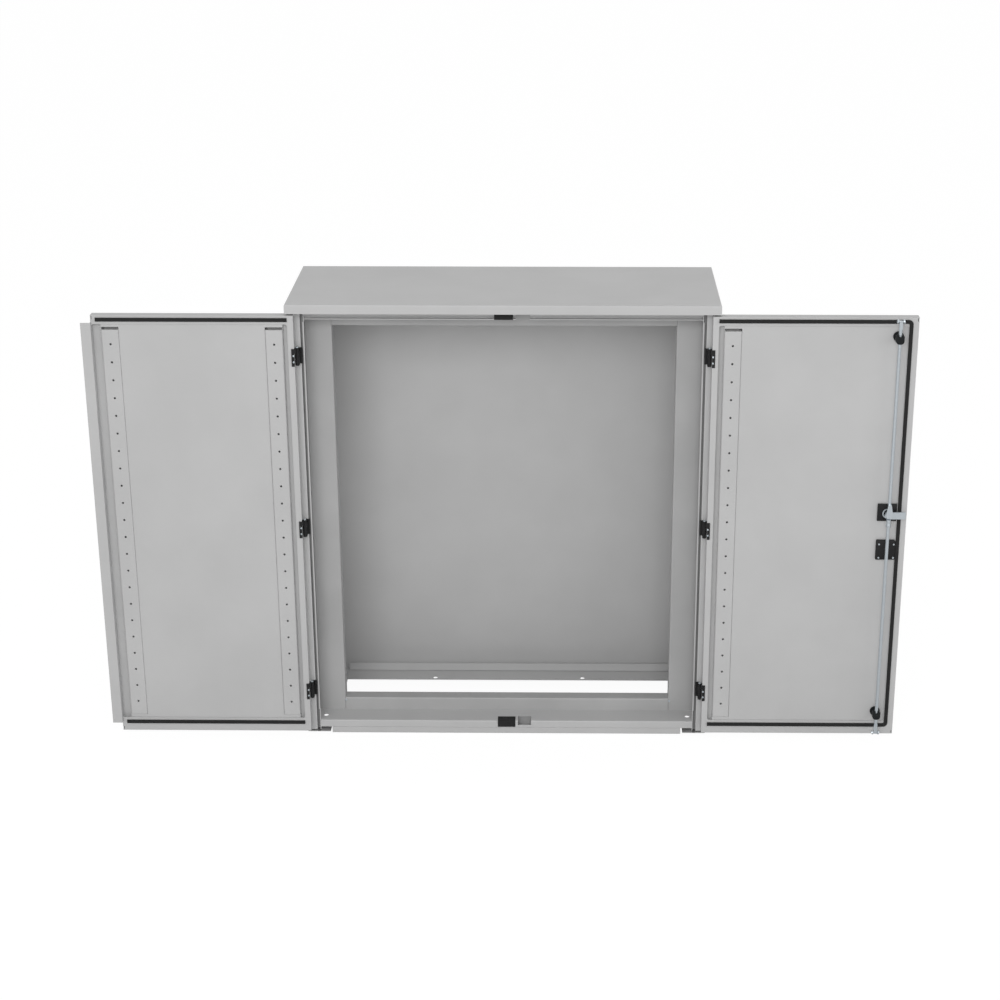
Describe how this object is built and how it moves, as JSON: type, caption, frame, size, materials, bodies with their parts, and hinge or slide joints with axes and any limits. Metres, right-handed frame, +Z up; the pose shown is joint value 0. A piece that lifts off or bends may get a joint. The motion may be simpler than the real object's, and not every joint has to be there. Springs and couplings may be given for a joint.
{
  "type": "outdoor electrical cabinet with two open doors",
  "caption": "Wide outdoor electrical cabinet of folded grey sheet steel, open, with two doors that swing right back, perforated door rails, gaskets and a rod lock.",
  "frame": {"origin": "on the floor, under the middle of the base strip's foot", "axes": "+Z up, +Y from the open front to the back panel, +X to the right as seen from the front"},
  "size_m": [2.208, 0.4485, 1.2735],
  "materials": {
    "painted_steel": "light grey powder coat, fine texture",
    "black_rubber": "foamed sealing strip, matt",
    "black_zinc": "die-cast zinc, black powder coat",
    "black_nylon": "moulded nylon, matt",
    "zinc_plated_steel": "bright zinc plate"
  },
  "bodies": {
    "cabinet": {"roof": "painted_steel", "back_panel": "painted_steel", "side_wall_left": "painted_steel", "side_wall_right": "painted_steel", "front_header": "painted_steel", "floor_plate": "painted_steel", "base_strip": "painted_steel", "floor_rear_rail": "painted_steel", "inner_post_left": "painted_steel", "inner_post_right": "painted_steel", "inner_crosspiece_bottom": "painted_steel", "inner_crosspiece_top": "painted_steel", "meeting_pad_top": "black_rubber", "meeting_pad_bottom": "black_rubber", "hinge_blocks_left": "black_zinc", "hinge_blocks_right": "black_zinc", "hinge_pins_left": "zinc_plated_steel", "hinge_pins_right": "zinc_plated_steel"},
    "door_left": {"door_left_panel": "painted_steel", "door_left_gasket": "black_rubber", "door_left_rail_hinge_side": "painted_steel", "door_left_rail_free_side": "painted_steel", "door_left_knuckles": "black_zinc"},
    "door_right": {"door_right_panel": "painted_steel", "door_right_gasket": "black_rubber", "door_right_rail": "painted_steel", "door_right_knuckles": "black_zinc", "lock_case": "black_zinc", "rod_guide_upper": "black_nylon", "rod_guide_lower": "black_nylon", "handle_backplate": "black_zinc", "outside_handle": "black_zinc"},
    "lock_cam": {"lock_cam": "zinc_plated_steel"},
    "rod_upper": {"lock_rod_upper": "zinc_plated_steel", "rod_rollers_upper": "zinc_plated_steel"},
    "rod_lower": {"lock_rod_lower": "zinc_plated_steel", "rod_rollers_lower": "zinc_plated_steel"}
  },
  "joints": [
    {"name": "door_left_swing", "type": "hinge", "parent": "cabinet", "child": "door_left", "pos_m": [-0.547, -0.041, 0.65], "axis": [0, 0, 1], "range_deg": [0, 180]},
    {"name": "door_right_swing", "type": "hinge", "parent": "cabinet", "child": "door_right", "pos_m": [0.547, -0.041, 0.65], "axis": [0, 0, -1], "range_deg": [0, 180]},
    {"name": "lock_turn", "type": "hinge", "parent": "door_right", "child": "lock_cam", "pos_m": [1.042, -0.069, 0.6915], "axis": [0, -1, 0], "range_deg": [0, 90]},
    {"name": "rod_upper_slide", "type": "slide", "parent": "door_right", "child": "rod_upper", "axis": [0, 0, -1], "range_m": [0, 0.015]},
    {"name": "rod_lower_slide", "type": "slide", "parent": "door_right", "child": "rod_lower", "axis": [0, 0, 1], "range_m": [0, 0.015]}
  ],
  "couplings": [
    {"joint": "rod_lower_slide", "follows": "rod_upper_slide", "ratio": 1},
    {"joint": "lock_turn", "follows": "rod_upper_slide", "rad_per_m": 104.72}
  ]
}
